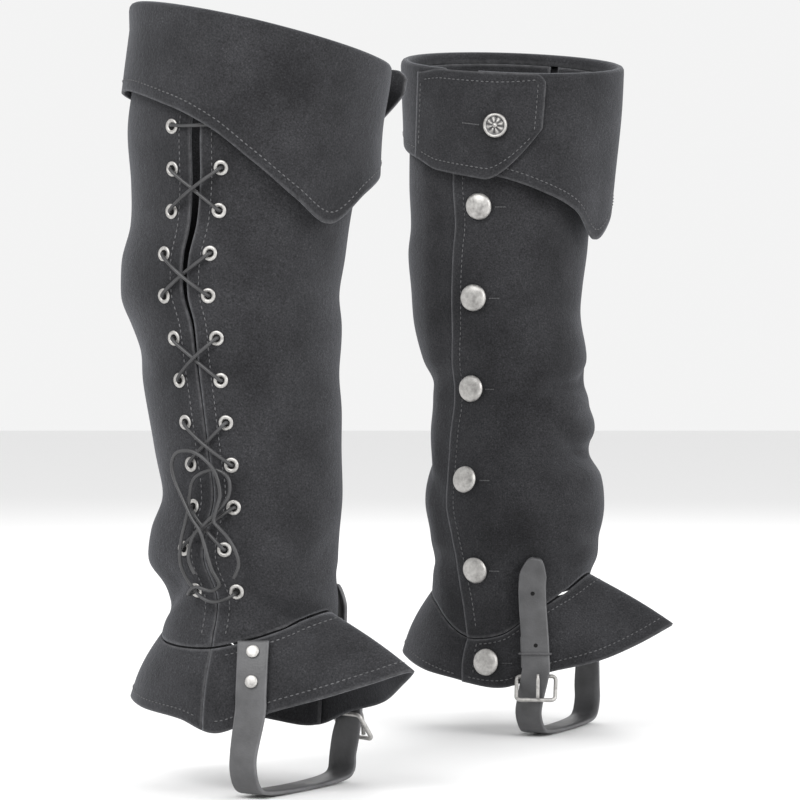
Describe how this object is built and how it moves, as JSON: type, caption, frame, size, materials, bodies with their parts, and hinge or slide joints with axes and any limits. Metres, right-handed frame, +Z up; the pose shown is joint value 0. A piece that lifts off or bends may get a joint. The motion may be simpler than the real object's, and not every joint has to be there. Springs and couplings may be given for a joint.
{
  "type": "pair of boot covers",
  "caption": "Pair of tall suede boot covers with turned-down cuffs, side lacing, buttoned plackets and buckled stirrup straps.",
  "frame": {"origin": "midway between the two calves, where the wearer's legs hold the pair up", "axes": "+Z up, +X to the right as seen from the front of the pair's picture, -Y toward the viewer"},
  "size_m": [0.3699, 0.4896, 0.4938],
  "materials": {
    "suede": "napped black suede",
    "strap_leather": "smooth dark grey leather",
    "lace_leather": "waxed round leather lace",
    "pewter": "antiqued pewter"
  },
  "bodies": {
    "root": {"left_bow_back": "lace_leather", "left_bow_front": "lace_leather", "left_buckle_frame": "pewter", "left_buckle_prong": "pewter", "left_button_1": "pewter", "left_button_2": "pewter", "left_button_3": "pewter", "left_button_4": "pewter", "left_button_5": "pewter", "left_button_6": "pewter", "left_chape": "strap_leather", "left_cuff": "suede", "left_cuff_button": "pewter", "left_cuff_tab": "suede", "left_foot_front": "suede", "left_foot_heel": "suede", "left_keeper": "strap_leather", "left_lace": "lace_leather", "left_leg_back": "suede", "left_leg_front": "suede", "left_rivet_1": "pewter", "left_rivet_2": "pewter", "left_strap": "strap_leather", "right_bow_back": "lace_leather", "right_bow_front": "lace_leather", "right_buckle_frame": "pewter", "right_buckle_prong": "pewter", "right_button_1": "pewter", "right_button_2": "pewter", "right_button_3": "pewter", "right_button_4": "pewter", "right_button_5": "pewter", "right_button_6": "pewter", "right_chape": "strap_leather", "right_cuff": "suede", "right_cuff_button": "pewter", "right_cuff_tab": "suede", "right_foot_front": "suede", "right_foot_heel": "suede", "right_keeper": "strap_leather", "right_lace": "lace_leather", "right_leg_back": "suede", "right_leg_front": "suede", "right_rivet_1": "pewter", "right_rivet_2": "pewter", "right_strap": "strap_leather"}
  },
  "joints": []
}
